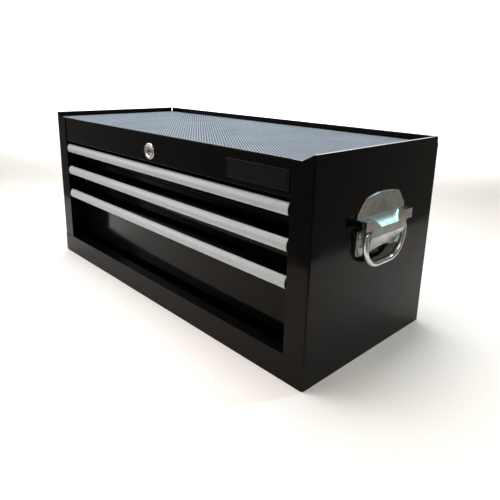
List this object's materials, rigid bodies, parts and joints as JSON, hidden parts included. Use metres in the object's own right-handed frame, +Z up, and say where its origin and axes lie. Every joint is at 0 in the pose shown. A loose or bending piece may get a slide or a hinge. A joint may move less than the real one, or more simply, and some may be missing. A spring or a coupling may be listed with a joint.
{
  "type": "tool chest",
  "caption": "Low steel tool chest with ball-bearing drawers, full-width pulls, a cam lock, a matted top tray and drop handles on its sides.",
  "frame": {"origin": "on the surface the chest stands on, under the middle of its case", "axes": "+Z up, -Y out of the drawers' side, +X towards the right handle"},
  "size_m": [0.639, 0.2614, 0.27],
  "materials": {
    "black_gloss_paint": "gloss",
    "satin_silver": "satin",
    "mat_rubber": "fine woven print",
    "black_plastic": "satin",
    "chrome": "polished",
    "zinc_plate": "bright zinc plate",
    "bare_steel": "rolled"
  },
  "bodies": {
    "cabinet": {"left_side_panel": "black_gloss_paint", "right_side_panel": "black_gloss_paint", "back_panel": "black_gloss_paint", "bottom_panel": "black_gloss_paint", "top_panel": "black_gloss_paint", "top_mat": "mat_rubber", "top_front_rail": "black_gloss_paint", "bottom_front_rail": "black_gloss_paint", "front_left_post": "black_gloss_paint", "front_right_post": "black_gloss_paint", "rear_left_post": "black_gloss_paint", "rear_right_post": "black_gloss_paint", "badge_plate": "black_plastic", "lock_barrel": "chrome", "lock_nut": "zinc_plate", "lock_brackets": "zinc_plate", "left_handle_bracket": "zinc_plate", "right_handle_bracket": "zinc_plate", "handle_rivets": "zinc_plate", "slide_rivets": "bare_steel", "drawer_1_left_outer_rail": "zinc_plate", "drawer_1_right_outer_rail": "zinc_plate", "drawer_2_left_outer_rail": "zinc_plate", "drawer_2_right_outer_rail": "zinc_plate", "drawer_3_left_outer_rail": "zinc_plate", "drawer_3_right_outer_rail": "zinc_plate"},
    "lock": {"lock_plug": "chrome", "lock_rod": "zinc_plate"},
    "locking_bar": {"locking_bar": "zinc_plate"},
    "left_bail": {"left_bail": "zinc_plate"},
    "right_bail": {"right_bail": "zinc_plate"},
    "drawer_1": {"drawer_1_front": "black_gloss_paint", "drawer_1_tray": "black_gloss_paint", "drawer_1_pull": "satin_silver", "drawer_1_end_caps": "black_plastic", "drawer_1_left_inner_rail": "zinc_plate", "drawer_1_right_inner_rail": "zinc_plate", "drawer_1_lock_catch": "zinc_plate"},
    "drawer_1_cages": {"drawer_1_left_ball_cage": "bare_steel", "drawer_1_right_ball_cage": "bare_steel"},
    "drawer_2": {"drawer_2_front": "black_gloss_paint", "drawer_2_tray": "black_gloss_paint", "drawer_2_pull": "satin_silver", "drawer_2_end_caps": "black_plastic", "drawer_2_left_inner_rail": "zinc_plate", "drawer_2_right_inner_rail": "zinc_plate", "drawer_2_lock_catch": "zinc_plate"},
    "drawer_2_cages": {"drawer_2_left_ball_cage": "bare_steel", "drawer_2_right_ball_cage": "bare_steel"},
    "drawer_3": {"drawer_3_front": "black_gloss_paint", "drawer_3_tray": "black_gloss_paint", "drawer_3_pull": "satin_silver", "drawer_3_end_caps": "black_plastic", "drawer_3_left_inner_rail": "zinc_plate", "drawer_3_right_inner_rail": "zinc_plate", "drawer_3_lock_catch": "zinc_plate"},
    "drawer_3_cages": {"drawer_3_left_ball_cage": "bare_steel", "drawer_3_right_ball_cage": "bare_steel"}
  },
  "joints": [
    {"name": "drawer_1_slide", "type": "slide", "parent": "cabinet", "child": "drawer_1", "axis": [0, -1, 0], "range_m": [0, 0.15]},
    {"name": "drawer_1_cage_slide", "type": "slide", "parent": "cabinet", "child": "drawer_1_cages", "axis": [0, -1, 0], "range_m": [0, 0.0755]},
    {"name": "drawer_2_slide", "type": "slide", "parent": "cabinet", "child": "drawer_2", "axis": [0, -1, 0], "range_m": [0, 0.15]},
    {"name": "drawer_2_cage_slide", "type": "slide", "parent": "cabinet", "child": "drawer_2_cages", "axis": [0, -1, 0], "range_m": [0, 0.0755]},
    {"name": "drawer_3_slide", "type": "slide", "parent": "cabinet", "child": "drawer_3", "axis": [0, -1, 0], "range_m": [0, 0.15]},
    {"name": "drawer_3_cage_slide", "type": "slide", "parent": "cabinet", "child": "drawer_3_cages", "axis": [0, -1, 0], "range_m": [0, 0.0755]},
    {"name": "locking_bar_slide", "type": "slide", "parent": "cabinet", "child": "locking_bar", "axis": [0, 0, -1], "range_m": [0, 0.0113]},
    {"name": "lock_turn", "type": "hinge", "parent": "cabinet", "child": "lock", "pos_m": [0.005, -0.1288, 0.236], "axis": [0, 1, 0], "range_deg": [0, 90]},
    {"name": "left_bail_swing", "type": "hinge", "parent": "cabinet", "child": "left_bail", "pos_m": [-0.3145, 0, 0.17], "axis": [0, 1, 0], "range_deg": [0, 90]},
    {"name": "right_bail_swing", "type": "hinge", "parent": "cabinet", "child": "right_bail", "pos_m": [0.3145, 0, 0.17], "axis": [0, -1, 0], "range_deg": [0, 90]}
  ],
  "couplings": [
    {"joint": "drawer_1_cage_slide", "follows": "drawer_1_slide", "ratio": 0.5},
    {"joint": "drawer_2_cage_slide", "follows": "drawer_2_slide", "ratio": 0.5},
    {"joint": "drawer_3_cage_slide", "follows": "drawer_3_slide", "ratio": 0.5},
    {"joint": "lock_turn", "follows": "locking_bar_slide", "rad_per_m": 138.84}
  ]
}
